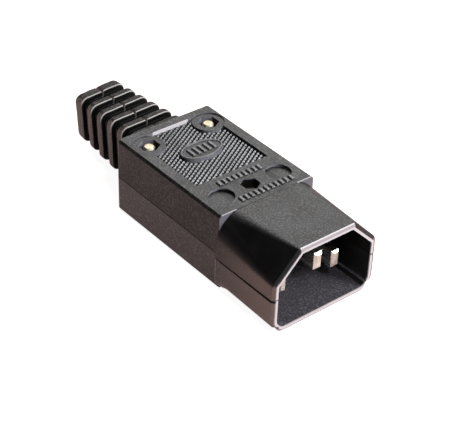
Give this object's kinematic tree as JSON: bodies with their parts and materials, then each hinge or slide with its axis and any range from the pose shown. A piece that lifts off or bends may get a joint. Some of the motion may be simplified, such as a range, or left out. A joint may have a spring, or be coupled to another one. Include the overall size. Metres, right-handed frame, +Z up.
{
  "type": "iec power plug",
  "caption": "Rewireable in-line power plug: two-part housing with a knurled panel, a hooded mouth round flat pins and a ribbed rubber cord boot.",
  "frame": {"origin": "under the middle of the plug, on the plane that its base lies on", "axes": "+X along the plug towards its mouth, +Y to the line pin's side, +Z up from the base"},
  "size_m": [0.0788, 0.027, 0.0187],
  "materials": {
    "shell": "black moulded thermoplastic, fine spark-eroded grain, knurled panel on top",
    "boot": "black flexible rubber, soft dull surface",
    "block": "black moulded insulating plastic, smoother than the shells",
    "pin": "nickel plate over brass, drawn along the blade, rubbed at the tip",
    "plated_screw": "zinc-plated steel, turned",
    "clamp": "black nylon, moulded",
    "brass_screw": "bare brass, cut threads",
    "nut": "dull plated steel"
  },
  "bodies": {
    "root": {"upper_shell": "shell", "lower_shell": "shell", "cord_boot": "boot", "contact_block": "block", "line_pin": "pin", "neutral_pin": "pin", "earth_pin": "pin", "line_terminal_screw": "plated_screw", "neutral_terminal_screw": "plated_screw", "earth_terminal_screw": "plated_screw", "cord_clamp": "clamp", "left_clamp_screw": "plated_screw", "right_clamp_screw": "plated_screw", "rear_left_screw": "brass_screw", "rear_right_screw": "brass_screw", "front_screw": "brass_screw", "rear_left_nut": "nut", "rear_right_nut": "nut", "front_nut": "nut"}
  },
  "joints": []
}
